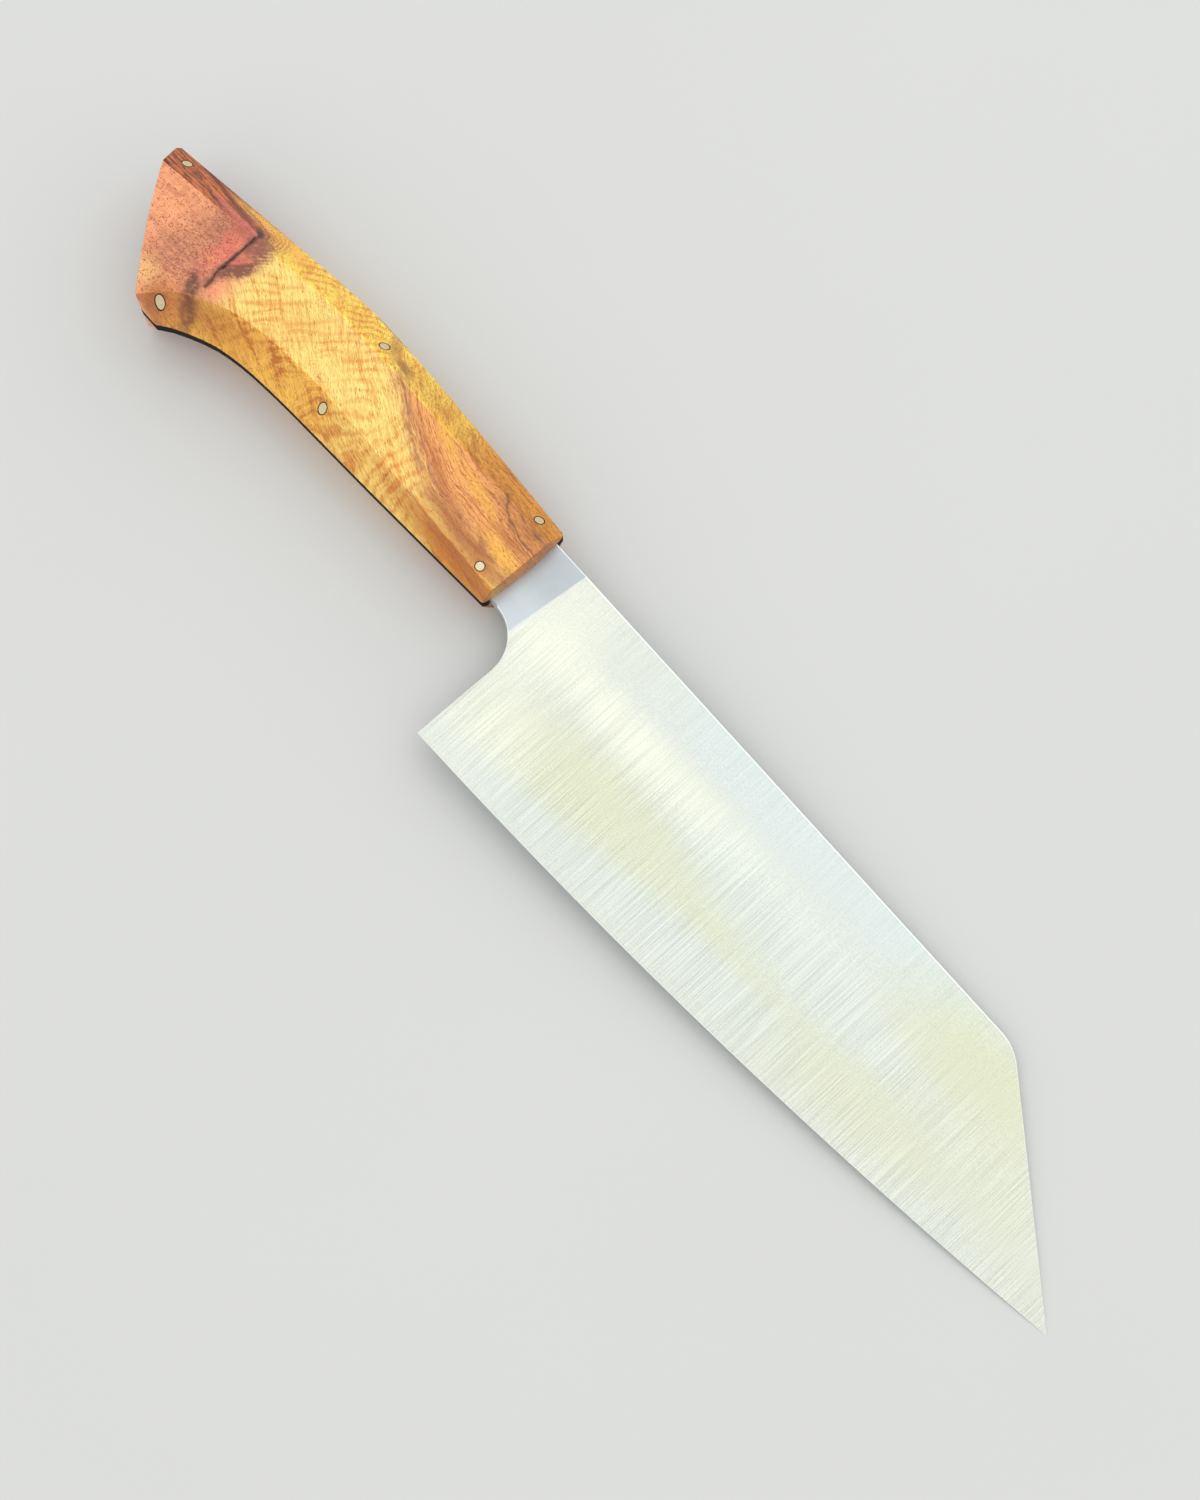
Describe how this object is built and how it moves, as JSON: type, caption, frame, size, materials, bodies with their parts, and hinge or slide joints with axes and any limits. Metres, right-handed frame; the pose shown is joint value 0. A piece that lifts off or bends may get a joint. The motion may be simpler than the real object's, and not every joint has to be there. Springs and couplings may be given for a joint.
{
  "type": "bunka knife",
  "caption": "Kitchen knife with a tall ground blade, clipped point and finger choil, and a faceted wooden handle with a black spacer, brass pins and a hooked, slanting butt.",
  "frame": {"origin": "on the lower flat of the handle, under the middle of the grip, on the centre line of the tang", "axes": "+X along the knife towards the tip, +Y from the cutting edge towards the spine, +Z square to the blade, out of the pictured face"},
  "size_m": [0.3185, 0.0546, 0.019],
  "materials": {
    "steel": "satin, with fine grinding lines from edge to spine",
    "wood": "figured, oiled to a low sheen",
    "spacer": "fine sanded",
    "brass": "sanded flush with the wood"
  },
  "bodies": {
    "root": {"blade": "steel", "spacer": "spacer", "scale_left": "wood", "scale_right": "wood", "pin_front_spine": "brass", "pin_front_belly": "brass", "pin_middle_spine": "brass", "pin_middle_belly": "brass", "pin_butt_spine": "brass", "pin_butt_belly": "brass"}
  },
  "joints": []
}
